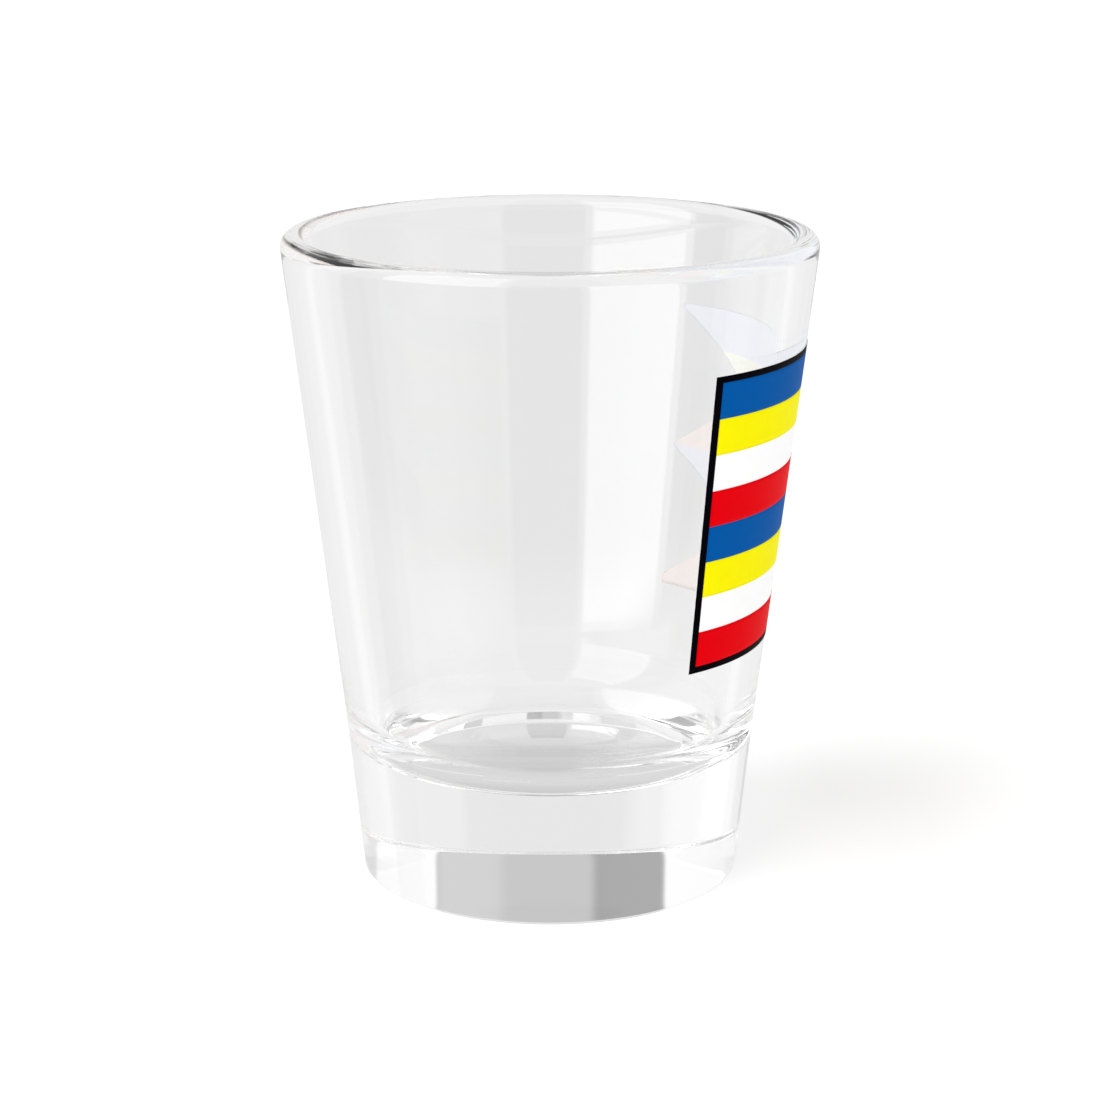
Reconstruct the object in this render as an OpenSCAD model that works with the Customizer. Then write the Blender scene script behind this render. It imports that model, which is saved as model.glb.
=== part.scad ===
// Shot glass: one thick-based tumbler of clear pressed glass with a striped, fork-tailed
// flag printed on its side. Millimetres, +Z up, origin at the centre of the resting face.
// The print is centred on +X. Its straight hoist edge is on the -Y side and its forked
// fly end on the +Y side.

/* [Glass] */
// overall height
glass_h = 60; // [54:0.5:75]
// diameter of the resting face, measured as if its edge were sharp
base_d = 35.1; // [30:0.1:38]
// height at which the outside wall turns slightly steeper
heel_h = 15; // [12:0.5:20]
// outside diameter at that height
heel_d = 38.2; // [38.1:0.1:42]
// outside diameter the wall would reach at the very top
mouth_d = 48.9; // [46:0.1:54]
// thickness of the glass at the rim, which is fully rounded
rim_t = 2.4; // [1.6:0.1:3]
// rounding of the bottom edge
base_edge_r = 0.4; // [0.2:0.1:1.2]

/* [Cavity] */
// thickness of the solid base under the middle of the cavity
floor_h = 11; // [8:0.1:13]
// inside diameter the wall would reach at that height
floor_d = 32; // [28:0.1:34]
// how far the dished floor would rise by that diameter
floor_dish = 0.5; // [0.2:0.1:2]
// rounding between the cavity's wall and its floor
floor_fillet_r = 6; // [2:0.5:8]

/* [Print] */
// height of the print's lower edge above the resting face
print_z = 23; // [21:0.5:26]
// height of the print, border included
print_h = 27.2; // [22:0.1:28]
// angle the print covers round the glass, in degrees
print_a = 105.1; // [90:0.1:120]
// width of the black border along the top, bottom and forked edges
border_w = 0.6; // [0.4:0.05:1]
// width of the black border at the hoist, in degrees round the glass
hoist_border_a = 2; // [1:0.1:3]
// how far the two notches cut into the fly end, in degrees round the glass
notch_a = 31.5; // [20:0.5:40]
// height of the middle tail's blunt tip
tip_h = 0.2; // [0.1:0.05:0.5]
// thickness of the white underbase
underbase_t = 0.04; // [0.03:0.01:0.1]
// thickness of each colour printed over it
ink_t = 0.03; // [0.02:0.01:0.1]

/* [Hidden] */
$fa = 2;
$fs = 0.1;
// lean of the outside wall from vertical, below and above the heel
heel_a = atan((heel_d - base_d) / 2 / heel_h);
wall_a = atan((mouth_d - heel_d) / 2 / (glass_h - heel_h));
// centre of the rounded rim's section
rim_r = rim_t / 2;
rim_z = glass_h - rim_r;
rim_x = wall_x(rim_z) - rim_r / cos(wall_a);
// lean of the inside wall, which meets the rim's circle at a tangent
in_dx = rim_x - floor_d / 2;
in_dz = rim_z - floor_h;
in_a = atan2(in_dx, in_dz) - asin(rim_r / norm([in_dx, in_dz]));
// radius of the dished floor, whose centre is on the axis
dish_r = pow(floor_d / 2, 2) / (2 * floor_dish);
// centre of the rounding at the cavity's floor, which touches both the wall and the dish
fillet_reach = floor_d / 2 - floor_fillet_r / cos(in_a);
fillet_b = dish_r - fillet_reach * tan(in_a);
fillet_c = pow(fillet_reach, 2) + pow(dish_r, 2) - pow(dish_r - floor_fillet_r, 2);
fillet_rise = (fillet_b - sqrt(pow(fillet_b, 2) - fillet_c / pow(cos(in_a), 2))) * pow(cos(in_a), 2);
fillet_x = fillet_reach + tan(in_a) * fillet_rise;
fillet_z = floor_h + fillet_rise;
// where the rounding meets the dish
dish_a = asin(fillet_x / (dish_r - floor_fillet_r));
dish_x = dish_r * sin(dish_a);
dish_z = floor_h + dish_r * (1 - cos(dish_a));
// centre of the rounding at the bottom edge
edge_x = base_d / 2 + tan(heel_a) * base_edge_r - base_edge_r / cos(heel_a);
// stripes from the top: blue, yellow, white and red, then the same again
stripe_n = 8;
// the print's limits
print_top = print_z + print_h;
print_mid = print_z + print_h / 2;
stripe_h = (print_h - 2 * border_w) / stripe_n;
stripes_a = print_a - hoist_border_a;
// ink depths, measured level
base_depth = underbase_t / cos(wall_a);
ink_depth = ink_t / cos(wall_a);
// direction faced by the middle of the notches, and the notches' run across it
notch_dir = (print_a - notch_a) / 2;
notch_run = 2 * wall_x(print_mid) * sin(notch_a / 2);
notch_offset_z = 2 * stripe_h;
notch_rise = notch_offset_z - tip_h / 2;
// shift along the run that leaves a border of even width beside a notch
notch_shift = border_w * norm([notch_run, notch_rise]) / notch_rise;
clear = 1;

// outside radius at height z, above the heel
function wall_x(z) = heel_d / 2 + tan(wall_a) * (z - heel_h);

// straight-sided section of the glass, with a chord across each rounding
module glass_chords() {
  polygon([
    [0, 0],
    [edge_x, 0],
    [edge_x + base_edge_r * cos(heel_a), base_edge_r * (1 - sin(heel_a))],
    [heel_d / 2, heel_h],
    [rim_x + rim_r * cos(wall_a), rim_z - rim_r * sin(wall_a)],
    [rim_x, rim_z],
    [rim_x - rim_r * cos(in_a), rim_z + rim_r * sin(in_a)],
    [fillet_x + floor_fillet_r * cos(in_a), fillet_z - floor_fillet_r * sin(in_a)],
    [dish_x, dish_z],
    [0, dish_z],
  ]);
}

// full section of the glass: chords, then rim and bottom edge rounded, cavity scooped
module glass_section() {
  difference() {
    union() {
      glass_chords();
      translate([rim_x, rim_z]) circle(r = rim_r);
      translate([edge_x, base_edge_r]) circle(r = base_edge_r);
    }
    translate([fillet_x, fillet_z]) circle(r = floor_fillet_r);
    intersection() {
      translate([0, floor_h + dish_r]) circle(r = dish_r);
      square([dish_x, dish_z + clear]);
    }
  }
}

// ink film on the upper wall, from angle a0 through sweep, between heights z0 and z1
// and between level depths d0 and d1 outside the glass
module film(a0, sweep, z0, z1, d0, d1) {
  rotate([0, 0, a0])
    rotate_extrude(angle = sweep)
      polygon([
        [wall_x(z0) + d0, z0],
        [wall_x(z0) + d1, z0],
        [wall_x(z1) + d1, z1],
        [wall_x(z1) + d0, z1],
      ]);
}

// wedge that cuts one notch into the fly end, centred at height z
module notch(z, shift) {
  reach = 1.5;
  rotate([0, 0, notch_dir])
    rotate([90, 0, 90])
      translate([-notch_run / 2 - shift, z, 0])
        linear_extrude(height = mouth_d)
          polygon([
            [0, 0],
            [notch_run * reach, notch_rise * reach],
            [notch_run * reach, -notch_rise * reach],
          ]);
}

// both notches, moved towards the hoist by shift
module notches(shift) {
  notch(print_mid + notch_offset_z, shift);
  notch(print_mid - notch_offset_z, shift);
}

// the whole forked flag as one film between level depths d0 and d1
module flag(d0, d1) {
  difference() {
    film(-print_a / 2, print_a, print_z, print_top, d0, d1);
    notches(0);
  }
}

// the part of the flag inside its border, drawn thick enough to cut with
module flag_inside() {
  difference() {
    film(
      hoist_border_a - print_a / 2,
      print_a,
      print_z + border_w,
      print_top - border_w,
      -clear,
      clear
    );
    notches(notch_shift);
  }
}

// coloured stripe number i, counted from the top, printed over the underbase
module stripe(i) {
  top = print_top - border_w - i * stripe_h;
  difference() {
    film(
      hoist_border_a - print_a / 2,
      stripes_a,
      top - stripe_h,
      top,
      base_depth,
      base_depth + ink_depth
    );
    notches(notch_shift);
  }
}

// the glass, one piece: solid base, slightly flared wall, round rim
module glass_body() {
  color([0.88, 0.93, 0.94, 0.4]) rotate_extrude() glass_section();
}

// opaque white under the whole flag, left bare as the white stripes
module white_underbase() {
  color("white") flag(0, base_depth);
}

module blue_stripe_upper() {
  color([0.004, 0.34, 0.64]) stripe(0);
}

module yellow_stripe_upper() {
  color([0.98, 0.95, 0.01]) stripe(1);
}

module red_stripe_upper() {
  color([0.9, 0, 0.05]) stripe(stripe_n / 2 - 1);
}

module blue_stripe_lower() {
  color([0.004, 0.34, 0.64]) stripe(stripe_n / 2);
}

module yellow_stripe_lower() {
  color([0.98, 0.95, 0.01]) stripe(stripe_n / 2 + 1);
}

module red_stripe_lower() {
  color([0.9, 0, 0.05]) stripe(stripe_n - 1);
}

// black line round the flag, notches included
module black_border() {
  color([0.02, 0.01, 0.03]) difference() {
    flag(base_depth, base_depth + ink_depth);
    flag_inside();
  }
}

glass_body();
white_underbase();
blue_stripe_upper();
yellow_stripe_upper();
red_stripe_upper();
blue_stripe_lower();
yellow_stripe_lower();
red_stripe_lower();
black_border();
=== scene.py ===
"""Shot glass with a printed, fork-tailed flag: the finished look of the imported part.

The glass is turned again as one fine smooth mesh from the same dimensions as the part,
and each ink is a thin shell that follows its wall. Lengths are in millimetres until a
mesh is made, and metres from there on. The camera looks along +Y.
"""

import math

import bpy
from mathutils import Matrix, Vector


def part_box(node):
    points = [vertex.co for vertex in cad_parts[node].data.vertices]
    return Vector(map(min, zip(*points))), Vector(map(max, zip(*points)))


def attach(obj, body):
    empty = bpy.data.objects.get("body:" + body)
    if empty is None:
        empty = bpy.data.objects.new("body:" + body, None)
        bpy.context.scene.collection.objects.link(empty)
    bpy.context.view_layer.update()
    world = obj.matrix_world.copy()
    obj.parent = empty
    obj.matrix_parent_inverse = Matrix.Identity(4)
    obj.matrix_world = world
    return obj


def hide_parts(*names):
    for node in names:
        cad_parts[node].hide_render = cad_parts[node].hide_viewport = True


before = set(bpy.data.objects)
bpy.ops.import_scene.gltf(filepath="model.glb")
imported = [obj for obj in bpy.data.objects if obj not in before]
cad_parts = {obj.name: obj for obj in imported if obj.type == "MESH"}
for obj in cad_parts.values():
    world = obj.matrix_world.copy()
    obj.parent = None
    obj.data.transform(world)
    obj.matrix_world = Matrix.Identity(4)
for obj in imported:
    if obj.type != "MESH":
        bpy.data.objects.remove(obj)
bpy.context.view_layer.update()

MM = 0.001

# ---- driving dimensions, in mm ------------------------------------------------------
GLASS_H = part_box("glass_body")[1].z / MM
BASE_D = 35.1  # resting face, to a sharp edge
HEEL_H = 15.0  # where the outside wall turns steeper
HEEL_D = 38.2
MOUTH_D = 48.9  # outside diameter the wall would reach at the top
RIM_T = 2.4
BASE_EDGE_R = 0.4
FLOOR_H = 11.0  # glass under the middle of the cavity
FLOOR_D = 32.0  # inside diameter the wall would reach at that height
FLOOR_DISH = 0.5  # rise of the floor out to that diameter
FLOOR_FILLET_R = 6.0

PRINT_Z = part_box("white_underbase")[0].z / MM
PRINT_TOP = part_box("white_underbase")[1].z / MM
PRINT_A = math.radians(105.1)
BORDER_W = 0.6
HOIST_BORDER_A = math.radians(2.0)
NOTCH_A = math.radians(31.5)
TIP_H = 0.2
STRIPE_N = 8
UNDERBASE_FILM = 0.04  # thickness of the white, square to the wall
INK_FILM = 0.03  # thickness of each colour over it

# ---- mesh fineness ------------------------------------------------------------------
TURN_STEPS = 384
ARC_STEPS = 20
FOOT_STEPS = 6
WALL_STEPS = 60
INNER_WALL_STEPS = 40
FILM_COLUMNS = 96  # steps round the glass in each film
TAIL_ROWS = 16  # rows between a notch's point and a tail's tip
STRIPE_ROWS = 10
HOIST_ROWS = 40
EDGE_ROWS = 4
DISC_SIDES = 96
HEEL_BLEND = 2.5  # the outside turns over this far either side of the heel
UNDERBASE_SINK = 0.02  # the white sits this deep in the glass, so no air shows between


# ---- profile of the glass -----------------------------------------------------------
def arc(centre, radius, start, end, steps=ARC_STEPS):
    """Points (radius, height) along an arc, angles in radians."""
    turns = (start + (end - start) * i / steps for i in range(steps + 1))
    return [(centre[0] + radius * math.cos(t), centre[1] + radius * math.sin(t)) for t in turns]


def span(start, end, steps):
    """Values between start and end, without either."""
    return [start + (end - start) * i / steps for i in range(1, steps)]


HEEL_SLOPE = (HEEL_D - BASE_D) / 2 / HEEL_H
WALL_SLOPE = (MOUTH_D - HEEL_D) / 2 / (GLASS_H - HEEL_H)
HEEL_LEAN = math.atan(HEEL_SLOPE)
WALL_LEAN = math.atan(WALL_SLOPE)


def outside(z):
    """Outside radius at height z: two cones with a short blend at the heel."""
    low = BASE_D / 2 + HEEL_SLOPE * z
    high = HEEL_D / 2 + WALL_SLOPE * (z - HEEL_H)
    along = (z - HEEL_H + HEEL_BLEND) / (2 * HEEL_BLEND)
    if along <= 0:
        return low
    if along >= 1:
        return high
    return low + (WALL_SLOPE - HEEL_SLOPE) * HEEL_BLEND * along * along


def glass_profile():
    """Closed section of the glass, from the middle of its foot round to the cavity's floor."""
    edge = (BASE_D / 2 + HEEL_SLOPE * BASE_EDGE_R - BASE_EDGE_R / math.cos(HEEL_LEAN), BASE_EDGE_R)
    rim_r = RIM_T / 2
    rim_z = GLASS_H - rim_r
    rim = (HEEL_D / 2 + WALL_SLOPE * (rim_z - HEEL_H) - rim_r / math.cos(WALL_LEAN), rim_z)
    to_floor = (rim[0] - FLOOR_D / 2, rim_z - FLOOR_H)
    lean = math.atan2(*to_floor) - math.asin(rim_r / math.hypot(*to_floor))
    slope = math.tan(lean)

    # the floor is a wide arc that rises to the corner rounding
    dish_r = (FLOOR_D / 2) ** 2 / (2 * FLOOR_DISH)
    reach = FLOOR_D / 2 - FLOOR_FILLET_R / math.cos(lean)
    b = dish_r - reach * slope
    gap = reach**2 + dish_r**2 - (dish_r - FLOOR_FILLET_R) ** 2
    rise = (b - math.sqrt(b * b - (1 + slope**2) * gap)) / (1 + slope**2)
    fillet = (reach + slope * rise, FLOOR_H + rise)
    dish_turn = math.asin(fillet[0] / (dish_r - FLOOR_FILLET_R))

    points = [(0.0, 0.0)]
    points += [(x, 0.0) for x in span(0.0, edge[0], FOOT_STEPS)]
    points += arc(edge, BASE_EDGE_R, -math.pi / 2, -HEEL_LEAN)
    wall_start = points[-1][1]
    wall_end = rim_z - rim_r * math.sin(WALL_LEAN)
    points += [(outside(z), z) for z in span(wall_start, wall_end, WALL_STEPS)]
    points += arc(rim, rim_r, -WALL_LEAN, math.pi - lean, 2 * ARC_STEPS)
    inner_top = points[-1]
    points_down = arc(fillet, FLOOR_FILLET_R, -lean, dish_turn - math.pi / 2)
    inner_end = points_down[0]
    for t in span(0.0, 1.0, INNER_WALL_STEPS):
        points.append(
            (
                inner_top[0] + (inner_end[0] - inner_top[0]) * t,
                inner_top[1] + (inner_end[1] - inner_top[1]) * t,
            )
        )
    points += points_down
    points += arc((0.0, FLOOR_H + dish_r), dish_r, dish_turn - math.pi / 2, -math.pi / 2)[1:-1]
    points.append((0.0, FLOOR_H))
    return points


def new_object(name, verts, faces):
    """Smooth-shaded object from points in mm."""
    mesh = bpy.data.meshes.new(name)
    mesh.from_pydata([[c * MM for c in v] for v in verts], [], faces)
    mesh.update()
    mesh.polygons.foreach_set("use_smooth", [True] * len(mesh.polygons))
    obj = bpy.data.objects.new(name, mesh)
    bpy.context.scene.collection.objects.link(obj)
    return obj


def turned(name, points):
    """Solid of revolution about Z from a section that starts and ends on the axis."""
    verts = []
    rings = []
    for radius, z in points:
        count = TURN_STEPS if radius > 0 else 1
        rings.append([len(verts) + k for k in range(count)])
        for k in range(count):
            turn = 2 * math.pi * k / TURN_STEPS
            verts.append((radius * math.cos(turn), radius * math.sin(turn), z))
    faces = []
    for lower, upper in zip(rings, rings[1:]):
        for k in range(TURN_STEPS):
            after = (k + 1) % TURN_STEPS
            corners = [lower[k % len(lower)], lower[after % len(lower)]]
            corners += [upper[after % len(upper)], upper[k % len(upper)]]
            faces.append(list(dict.fromkeys(corners)))
    return new_object(name, verts, faces)


# ---- the print ----------------------------------------------------------------------
STRIPE_H = (PRINT_TOP - PRINT_Z - 2 * BORDER_W) / STRIPE_N
PRINT_MID = (PRINT_TOP + PRINT_Z) / 2
HOIST = -PRINT_A / 2
FLY = PRINT_A / 2
NOTCH_DIR = (PRINT_A - NOTCH_A) / 2
NOTCH_RUN = 2 * outside(PRINT_MID) * math.sin(NOTCH_A / 2)
NOTCH_OFFSET = 2 * STRIPE_H
NOTCH_RISE = NOTCH_OFFSET - TIP_H / 2
NOTCH_SHIFT = BORDER_W * math.hypot(NOTCH_RUN, NOTCH_RISE) / NOTCH_RISE


def fly_edge(z, shift):
    """Angle at which the print ends at height z, with both notches moved by shift."""
    from_notch = min(abs(z - PRINT_MID - NOTCH_OFFSET), abs(z - PRINT_MID + NOTCH_OFFSET))
    across = from_notch * NOTCH_RUN / NOTCH_RISE - NOTCH_RUN / 2 - shift
    if across >= outside(z):
        return FLY
    return min(FLY, NOTCH_DIR + math.asin(across / outside(z)))


def film(name, rows, inner, outer):
    """Thin closed shell on the wall. rows are (height, first angle, last angle)."""
    columns = FILM_COLUMNS
    verts = []
    for depth in (inner, outer):
        for z, start, end in rows:
            for k in range(columns + 1):
                turn = start + (end - start) * k / columns
                radius = outside(z) + depth
                verts.append((radius * math.cos(turn), radius * math.sin(turn), z))
    wide = columns + 1
    layer = wide * len(rows)
    faces = []
    edge_faces = []
    for j in range(len(rows) - 1):
        for k in range(columns):
            a = j * wide + k
            faces.append((a + wide, a + wide + 1, a + 1, a))
            faces.append((a + layer, a + layer + 1, a + layer + wide + 1, a + layer + wide))
    for k in range(columns):
        top = (len(rows) - 1) * wide + k
        edge_faces.append((k, k + 1, k + 1 + layer, k + layer))
        edge_faces.append((top + layer, top + 1 + layer, top + 1, top))
    for j in range(len(rows) - 1):
        near = j * wide
        far = near + columns
        edge_faces.append((near + layer, near + wide + layer, near + wide, near))
        edge_faces.append((far, far + wide, far + wide + layer, far + layer))
    obj = new_object(name, verts, faces + edge_faces)
    flat = [True] * len(faces) + [False] * len(edge_faces)
    obj.data.polygons.foreach_set("use_smooth", flat)
    return obj


def heights(low, high, steps):
    """Heights from low to high, both included."""
    return [low + (high - low) * i / steps for i in range(steps + 1)]


def flag_rows():
    """Rows of the whole print, with one at each notch's point and each tail's tip."""
    stops = [PRINT_Z, PRINT_MID - NOTCH_OFFSET, PRINT_MID, PRINT_MID + NOTCH_OFFSET, PRINT_TOP]
    levels = [stops[0]]
    for low, high in zip(stops, stops[1:]):
        levels += heights(low, high, TAIL_ROWS)[1:]
    return [(z, HOIST, fly_edge(z, 0)) for z in levels]


def stripe_rows(index):
    """Rows of coloured stripe number index, counted from the top."""
    top = PRINT_TOP - BORDER_W - index * STRIPE_H
    start = HOIST + HOIST_BORDER_A
    return [(z, start, fly_edge(z, NOTCH_SHIFT)) for z in heights(top - STRIPE_H, top, STRIPE_ROWS)]



# ---- materials ----------------------------------------------------------------------
def node_material(name, **values):
    """Material with one Principled shader, its sockets set by name."""
    mat = bpy.data.materials.new(name)
    mat.use_nodes = True
    shader = mat.node_tree.nodes["Principled BSDF"]
    for key, value in values.items():
        shader.inputs[key.replace("_", " ")].default_value = value
    return mat, shader


def link(mat, source, target):
    """Join two sockets of a material's node tree."""
    mat.node_tree.links.new(source, target)


def noise(mat, scale, detail=2.0, squeeze=(1, 1, 1)):
    """Noise in object space, scale in cells per metre."""
    nodes = mat.node_tree.nodes
    where = nodes.new("ShaderNodeTexCoord")
    stretch = nodes.new("ShaderNodeMapping")
    stretch.inputs["Scale"].default_value = squeeze
    tex = nodes.new("ShaderNodeTexNoise")
    tex.inputs["Scale"].default_value = scale
    tex.inputs["Detail"].default_value = detail
    link(mat, where.outputs["Object"], stretch.inputs["Vector"])
    link(mat, stretch.outputs["Vector"], tex.inputs["Vector"])
    return tex.outputs["Fac"]


def remap(mat, value, low, high):
    """Value from 0 to 1 taken to low..high."""
    node = mat.node_tree.nodes.new("ShaderNodeMapRange")
    node.inputs["To Min"].default_value = low
    node.inputs["To Max"].default_value = high
    link(mat, value, node.inputs["Value"])
    return node.outputs["Result"]


def add_bump(mat, shader, height, distance, strength):
    """Drive the shader's normal from a height, distance in metres."""
    node = mat.node_tree.nodes.new("ShaderNodeBump")
    node.inputs["Distance"].default_value = distance
    node.inputs["Strength"].default_value = strength
    link(mat, height, node.inputs["Height"])
    link(mat, node.outputs["Normal"], shader.inputs["Normal"])


def glass_material():
    """Clear pressed glass: fire-polished, with faint uneven patches in its gloss."""
    mat, shader = node_material(
        "clear_glass",
        Base_Color=(1.0, 1.0, 1.0, 1.0),
        IOR=1.5,
        Transmission_Weight=1.0,
    )
    patches = noise(mat, 120.0, detail=3.0, squeeze=(1, 1, 0.35))
    link(mat, remap(mat, patches, 0.0, 0.006), shader.inputs["Roughness"])
    return mat


def linear(*srgb):
    """Linear colour from 8-bit sRGB."""
    out = []
    for value in srgb:
        c = value / 255
        out.append(c / 12.92 if c <= 0.04045 else ((c + 0.055) / 1.055) ** 2.4)
    return (*out, 1.0)


def ink_material(name, colour, density=0.03):
    """Screen-printed enamel: slightly uneven density and a fine pebbled surface."""
    mat, shader = node_material(name, Roughness=0.45, Specular_IOR_Level=0.01)
    nodes = mat.node_tree.nodes
    tint = nodes.new("ShaderNodeHueSaturation")
    tint.name = "tint"
    tint.inputs["Color"].default_value = colour
    cloud = noise(mat, 900.0, detail=3.0)
    link(mat, remap(mat, cloud, 1 - density, 1 + density), tint.inputs["Value"])
    link(mat, tint.outputs["Color"], shader.inputs["Base Color"])
    grain = noise(mat, 9000.0)
    add_bump(mat, shader, grain, 0.000004, 0.3)
    link(mat, remap(mat, grain, 0.4, 0.52), shader.inputs["Roughness"])
    return mat


def backing_material(name):
    """The white as seen through the glass: the stripes over it show through faintly."""
    mat = ink_material(name, (1, 1, 1, 1))
    nodes = mat.node_tree.nodes
    place = nodes.new("ShaderNodeTexCoord")
    split = nodes.new("ShaderNodeSeparateXYZ")
    link(mat, place.outputs["Object"], split.inputs["Vector"])
    level = nodes.new("ShaderNodeMapRange")
    level.inputs["From Min"].default_value = (PRINT_Z + BORDER_W) * MM
    level.inputs["From Max"].default_value = (PRINT_TOP - BORDER_W) * MM
    link(mat, split.outputs["Z"], level.inputs["Value"])
    bands = nodes.new("ShaderNodeValToRGB")
    bands.color_ramp.interpolation = "CONSTANT"
    ramp = bands.color_ramp.elements
    blue, yellow, red = (0.76, 0.77, 0.82, 1), (0.83, 0.835, 0.76, 1), (0.82, 0.755, 0.73, 1)
    white = (0.81, 0.81, 0.81, 1)
    order = [red, white, yellow, blue]
    ramp.remove(ramp[1])
    ramp[0].color = order[0]
    for i in range(1, STRIPE_N):
        ramp.new(i / STRIPE_N).color = order[i % len(order)]
    link(mat, level.outputs["Result"], bands.inputs["Fac"])
    link(mat, bands.outputs["Color"], nodes["tint"].inputs["Color"])
    return mat


# ---- build the pieces ---------------------------------------------------------------
def hide_from(obj, *rays):
    """Take the object out of the sight of those kinds of ray."""
    for kind in rays:
        setattr(obj, f"visible_{kind}", False)


def finish_piece(obj, mat, node):
    """Give the piece its material, hide the CAD node it replaces and hang it under the root body."""
    obj.data.materials.append(mat)
    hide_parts(node)
    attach(obj, "root")
    return obj


glass = turned("glass", glass_profile())
finish_piece(glass, glass_material(), "glass_body")
# the glass lets all light through to the floor; studio_glass_shade dims the floor for it
hide_from(glass, "shadow", "diffuse")

UNDERBASE_T = UNDERBASE_FILM / math.cos(WALL_LEAN)
INK_T = INK_FILM / math.cos(WALL_LEAN)
INK_OUT = UNDERBASE_T + INK_T

white = film("flag_white", flag_rows(), -UNDERBASE_SINK, UNDERBASE_T)
finish_piece(white, ink_material("white_ink", linear(255, 255, 255)), "white_underbase")
white.data.materials.append(backing_material("white_ink_back"))
for poly in white.data.polygons:
    out = poly.center.x * poly.normal.x + poly.center.y * poly.normal.y
    poly.material_index = 1 if out < 0 and poly.use_smooth else 0

INKS = {
    "blue": ink_material("blue_ink", linear(1, 87, 164)),
    "yellow": ink_material("yellow_ink", linear(251, 242, 3)),
    "red": ink_material("red_ink", linear(230, 0, 12)),
}
STRIPES = {"blue": 0, "yellow": 1, "red": 3}
for half, first in (("upper", 0), ("lower", STRIPE_N // 2)):
    for colour, place in STRIPES.items():
        rows = stripe_rows(first + place)
        piece = film(f"{colour}_stripe_{half}_ink", rows, UNDERBASE_T / 2, INK_OUT)
        finish_piece(piece, INKS[colour], f"{colour}_stripe_{half}")


def border():
    """The black outline: four films joined, along the top, bottom, hoist and fly."""
    start = HOIST + HOIST_BORDER_A
    parts = [[(z, HOIST, start) for z in heights(PRINT_Z, PRINT_TOP, HOIST_ROWS)]]
    for low, high in ((PRINT_Z, PRINT_Z + BORDER_W), (PRINT_TOP - BORDER_W, PRINT_TOP)):
        parts.append([(z, start, fly_edge(z, 0)) for z in heights(low, high, EDGE_ROWS)])
    stops = [PRINT_Z + BORDER_W, PRINT_MID - NOTCH_OFFSET, PRINT_MID]
    stops += [PRINT_MID + NOTCH_OFFSET, PRINT_TOP - BORDER_W]
    levels = [stops[0]]
    for low, high in zip(stops, stops[1:]):
        levels += heights(low, high, TAIL_ROWS)[1:]
    parts.append([(z, fly_edge(z, NOTCH_SHIFT), fly_edge(z, 0)) for z in levels])
    films = [film("black_border_ink", rows, UNDERBASE_T / 2, INK_OUT) for rows in parts]
    bpy.ops.object.select_all(action="DESELECT")
    for obj in films:
        obj.select_set(True)
    bpy.context.view_layer.objects.active = films[0]
    bpy.ops.object.join()
    return films[0]


finish_piece(border(), ink_material("black_ink", linear(4, 2, 7)), "black_border")


# ---- studio -------------------------------------------------------------------------
def floor():
    """Large white sheet under the glass."""
    half = 4000.0
    corners = [(-half, -half, 0), (half, -half, 0), (half, half, 0), (-half, half, 0)]
    sheet = new_object("studio_floor", corners, [(0, 1, 2, 3)])
    sheet.location.z = -0.00002
    mat, shader = node_material("studio_floor", Roughness=0.9, Specular_IOR_Level=0.0)
    shader.inputs["Base Color"].default_value = (0.97, 0.97, 0.97, 1)
    sheet.data.materials.append(mat)
    # in and through the glass the floor's light comes from the world, which holds it too
    hide_from(sheet, "glossy", "transmission")


def painted_shade_under_glass():
    """Painted shade on the floor where the glass stands, seen through its foot: less light gets there,
    and a glowing disc, dimmer in the middle, stands in for that shade.
    """
    sides = DISC_SIDES
    middle_r, rim_r = 9.0, BASE_D / 2
    verts = [(0.0, 0.0, 0.0)]
    for radius in (middle_r, rim_r):
        for k in range(sides):
            turn = 2 * math.pi * k / sides
            verts.append((radius * math.cos(turn), radius * math.sin(turn), 0.0))
    faces = []
    for k in range(sides):
        after = (k + 1) % sides
        faces.append((0, 1 + k, 1 + after))
        faces.append((1 + k, 1 + sides + k, 1 + sides + after, 1 + after))
    disc = new_object("studio_painted_floor_shade", verts, faces)
    disc.location.z = -0.00001
    mat = bpy.data.materials.new("studio_painted_floor_shade")
    mat.use_nodes = True
    nodes = mat.node_tree.nodes
    nodes.clear()
    place = nodes.new("ShaderNodeTexCoord")
    reach = nodes.new("ShaderNodeVectorMath")
    reach.operation = "LENGTH"
    link(mat, place.outputs["Object"], reach.inputs[0])
    level = nodes.new("ShaderNodeMapRange")
    level.interpolation_type = "SMOOTHSTEP"
    level.inputs["From Min"].default_value = middle_r / 2 * MM
    level.inputs["From Max"].default_value = rim_r * MM
    level.inputs["To Min"].default_value = 0.6
    level.inputs["To Max"].default_value = 0.7
    link(mat, reach.outputs["Value"], level.inputs["Value"])
    # painted shade: the disc glows at 0.6 in the middle and 0.7 at its edge in place of the shaded floor
    # under the foot
    painted_shade_glow = nodes.new("ShaderNodeEmission")
    link(mat, level.outputs["Result"], painted_shade_glow.inputs["Strength"])
    end = nodes.new("ShaderNodeOutputMaterial")
    link(mat, painted_shade_glow.outputs["Emission"], end.inputs["Surface"])
    disc.data.materials.append(mat)
    hide_from(disc, "camera", "diffuse", "shadow")


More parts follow.
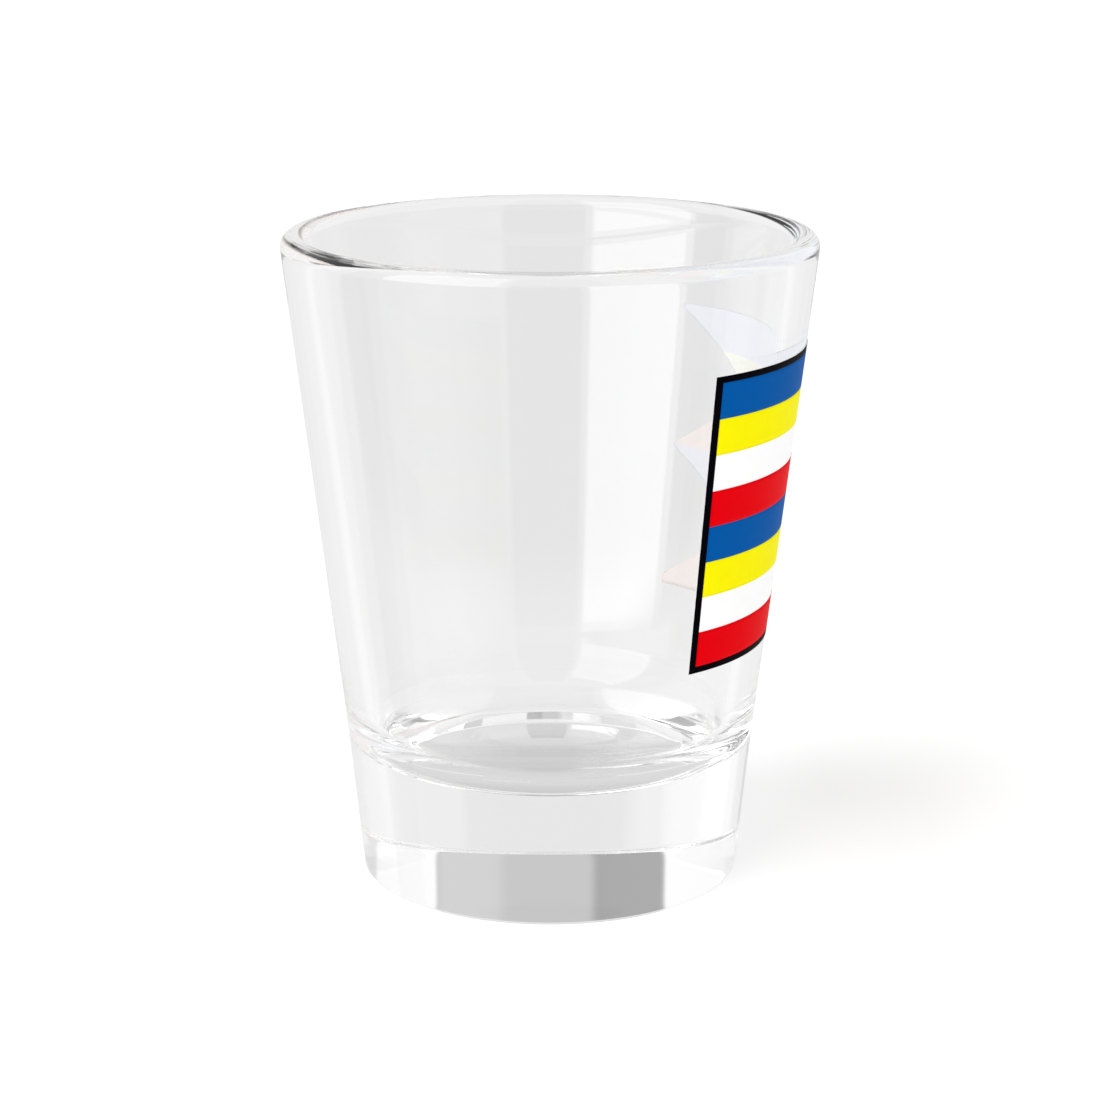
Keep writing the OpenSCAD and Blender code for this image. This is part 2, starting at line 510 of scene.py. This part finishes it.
def shade_of_glass():
    """Half-clear outline of the thick base, met by light on its way to the floor and by nothing else."""
    clearance = 0.6
    high = PRINT_Z - 1.0
    section = [
        (0.0, clearance),
        (BASE_D / 2 - clearance, clearance),
        (HEEL_D / 2 - clearance, HEEL_H),
        (outside(high) - clearance, high),
        (0.0, high),
    ]
    caster = turned("studio_glass_shade", section)
    mat = bpy.data.materials.new("studio_glass_shade")
    mat.use_nodes = True
    nodes = mat.node_tree.nodes
    nodes.clear()
    clear = nodes.new("ShaderNodeBsdfTransparent")
    clear.inputs["Color"].default_value = (0.6, 0.6, 0.6, 1)
    end = nodes.new("ShaderNodeOutputMaterial")
    link(mat, clear.outputs["BSDF"], end.inputs["Surface"])
    caster.data.materials.append(mat)
    hide_from(caster, "camera", "diffuse", "glossy", "transmission")


class Sky:
    """World colour built up from soft-edged cards, in degrees of azimuth and elevation.

    Azimuth 0 is behind the glass (+Y), 90 is to the right (+X), 180 is the camera's side.
    """

    def __init__(self, base):
        world = bpy.data.worlds.new("studio")
        bpy.context.scene.world = world
        world.use_nodes = True
        self.nodes = world.node_tree.nodes
        self.links = world.node_tree.links
        self.nodes.clear()
        place = self.nodes.new("ShaderNodeTexCoord")
        split = self.nodes.new("ShaderNodeSeparateXYZ")
        self.links.new(place.outputs["Generated"], split.inputs["Vector"])
        azimuth = self.math("ARCTAN2", split.outputs["X"], split.outputs["Y"])
        elevation = self.math("ARCSINE", split.outputs["Z"])
        self.az = self.math("DEGREES", azimuth)
        self.el = self.math("DEGREES", elevation)
        self.value = base

    def math(self, kind, *inputs):
        node = self.nodes.new("ShaderNodeMath")
        node.operation = kind
        for slot_in, value in zip(node.inputs, inputs):
            if isinstance(value, (int, float)):
                slot_in.default_value = value
            else:
                self.links.new(value, slot_in)
        return node.outputs["Value"]

    def ramp(self, value, start, end):
        """0 below start, 1 above end, smooth between. end below start turns it round."""
        node = self.nodes.new("ShaderNodeMapRange")
        node.interpolation_type = "SMOOTHSTEP"
        node.inputs["From Min"].default_value = min(start, end)
        node.inputs["From Max"].default_value = max(start, end)
        node.inputs["To Min"].default_value = 0.0 if start < end else 1.0
        node.inputs["To Max"].default_value = 1.0 if start < end else 0.0
        self.links.new(value, node.inputs["Value"])
        return node.outputs["Result"]

    def card(self, level, centre, half_width, low, high, soft=2.0, soft_el=2.0):
        """Mix a card of that level over what is there."""
        turn = self.math("SUBTRACT", self.az, centre)
        wrapped = self.math("WRAP", turn, 180.0, -180.0)
        off = self.math("ABSOLUTE", wrapped)
        side = self.ramp(off, half_width + soft / 2, half_width - soft / 2)
        under = self.ramp(self.el, low - soft_el / 2, low + soft_el / 2)
        over = self.ramp(self.el, high + soft_el / 2, high - soft_el / 2)
        mask = self.math("MULTIPLY", self.math("MULTIPLY", under, over), side)
        mix = self.nodes.new("ShaderNodeMix")
        mix.data_type = "FLOAT"
        self.links.new(mask, mix.inputs[0])
        for slot_in, value in ((mix.inputs[2], self.value), (mix.inputs[3], level)):
            if isinstance(value, (int, float)):
                slot_in.default_value = value
            else:
                self.links.new(value, slot_in)
        self.value = mix.outputs[0]

    def finish(self, seen, ambient):
        """seen is the level the camera sees; ambient lights matt surfaces evenly."""
        rays = self.nodes.new("ShaderNodeLightPath")
        value = self.value
        for output, level in (("Is Diffuse Ray", ambient), ("Is Camera Ray", seen)):
            mix = self.nodes.new("ShaderNodeMix")
            mix.data_type = "FLOAT"
            self.links.new(rays.outputs[output], mix.inputs[0])
            self.links.new(value, mix.inputs[2])
            mix.inputs[3].default_value = level
            value = mix.outputs[0]
        background = self.nodes.new("ShaderNodeBackground")
        out = self.nodes.new("ShaderNodeOutputWorld")
        background.inputs["Color"].default_value = (1, 1, 1, 1)
        self.links.new(value, background.inputs["Strength"])
        self.links.new(background.outputs[0], out.inputs["Surface"])


floor()
painted_shade_under_glass()
shade_of_glass()
sky = Sky(base=1.0)
# the floor: bright to the sides, a little dimmer behind and on the camera's side
sky.card(0.96, 0, 180, -90, -1)
sky.card(0.78, 180, 35, -80, -1, soft=15)
sky.card(0.55, -82, 12, -40, -1, soft=4)
sky.card(0.87, 0, 40, -80, -1, soft=10)
sky.card(0.82, 1, 16, -15.5, -1, soft=3)
# wall behind, with a grey card in its middle
sky.card(1.0, 0, 100, -1, 60)
sky.card(0.82, 0, 26, -1, 14)
sky.card(0.56, 0, 27, 14, 75)
sky.card(0.63, 18, 8, 14, 75, soft=4)
sky.card(0.37, -18, 9, 14, 60, soft=3)
# dimmer room to the sides and behind the camera
sky.card(0.55, -95, 13, -6, 80, soft=3)
sky.card(0.25, -95, 13, -6, 4, soft=3)
sky.card(0.75, 86, 26, -5, 80, soft=4)
sky.card(0.33, 177, 20, -6, 70)
# soft boxes, front left and front right
sky.card(2.7, -133, 26, -4.5, 60)
sky.card(0.95, 128, 22, -6, 60, soft=3)
sky.finish(seen=1.0, ambient=0.84)


def key_lamp():
    """Broad soft key from high at the front left, so a faint shade falls at the back right."""
    lamp = bpy.data.lights.new("soft_key", "SUN")
    lamp.angle = math.radians(30)
    lamp.energy = 0.95
    obj = bpy.data.objects.new("soft_key", lamp)
    bpy.context.scene.collection.objects.link(obj)
    obj.location = (-0.28, -0.37, 0.7)
    obj.rotation_euler = (-obj.location).to_track_quat("-Z", "Y").to_euler()
    hide_from(obj, "glossy", "transmission")


def camera():
    """Same angle and distance as the picture this follows."""
    lens, distance, height, downward_tilt = 97.58, 0.26727, 0.1005, 0.2573
    cam = bpy.data.cameras.new("camera")
    cam.sensor_width = 36.0
    cam.lens = lens
    cam.clip_start = 0.01
    cam.clip_end = 50.0
    obj = bpy.data.objects.new("camera", cam)
    bpy.context.scene.collection.objects.link(obj)
    obj.location = (0.0, -distance, height)
    obj.rotation_euler = (math.pi / 2 - downward_tilt, 0.0, 0.0)
    bpy.context.scene.camera = obj


key_lamp()
camera()

scene = bpy.context.scene
scene.view_settings.view_transform = "Standard"
# light guided along inside the wall stops after this many bounces, which sets the rim's dark line
LIGHT_BOUNCES = 30
scene.cycles.max_bounces = LIGHT_BOUNCES
scene.cycles.transmission_bounces = LIGHT_BOUNCES
scene.cycles.glossy_bounces = LIGHT_BOUNCES
scene.cycles.transparent_max_bounces = 24
